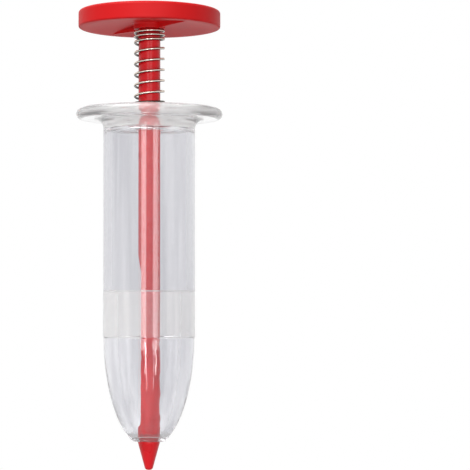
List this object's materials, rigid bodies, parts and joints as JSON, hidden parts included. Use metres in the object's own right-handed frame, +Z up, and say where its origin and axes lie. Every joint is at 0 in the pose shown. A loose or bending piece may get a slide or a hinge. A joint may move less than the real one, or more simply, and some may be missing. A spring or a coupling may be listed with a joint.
{
  "type": "hand seed sower",
  "caption": "Hand seed sower: clear barrel with finger flange, push-on clear nozzle, and a sprung red plunger whose rod plugs the outlet until the thumb cap is pressed.",
  "frame": {"origin": "on the sower's axis at the pointed tip of the plunger, which is the lowest point, with the plunger released", "axes": "+Z up the axis from the tip to the thumb cap; the rod's flat faces -X; -Y faces the viewer of the picture"},
  "size_m": [0.0394, 0.0394, 0.1236],
  "materials": {
    "clear_plastic": "polished transparent styrene",
    "red_plastic": "satin moulded red",
    "spring_wire": "drawn spring wire"
  },
  "bodies": {
    "barrel": {"barrel": "clear_plastic"},
    "spring": {"return_spring": "spring_wire"},
    "plunger": {"plunger_rod": "red_plastic", "thumb_cap": "red_plastic"},
    "nozzle": {"nozzle": "clear_plastic"}
  },
  "joints": [
    {"name": "plunger_press", "type": "slide", "parent": "barrel", "child": "spring", "axis": [0, 0, -1], "range_m": [0, 0.012], "stiffness_N_per_m": 400, "springref_m": -0.003, "deforming": ["return_spring"]},
    {"name": "plunger_turn", "type": "hinge", "parent": "spring", "child": "plunger", "pos_m": [0, 0, 0.1186], "axis": [0, 0, 1], "continuous": true},
    {"name": "nozzle_pull", "type": "slide", "parent": "barrel", "child": "nozzle", "axis": [0, 0, -1], "range_m": [0, 0.05]}
  ]
}
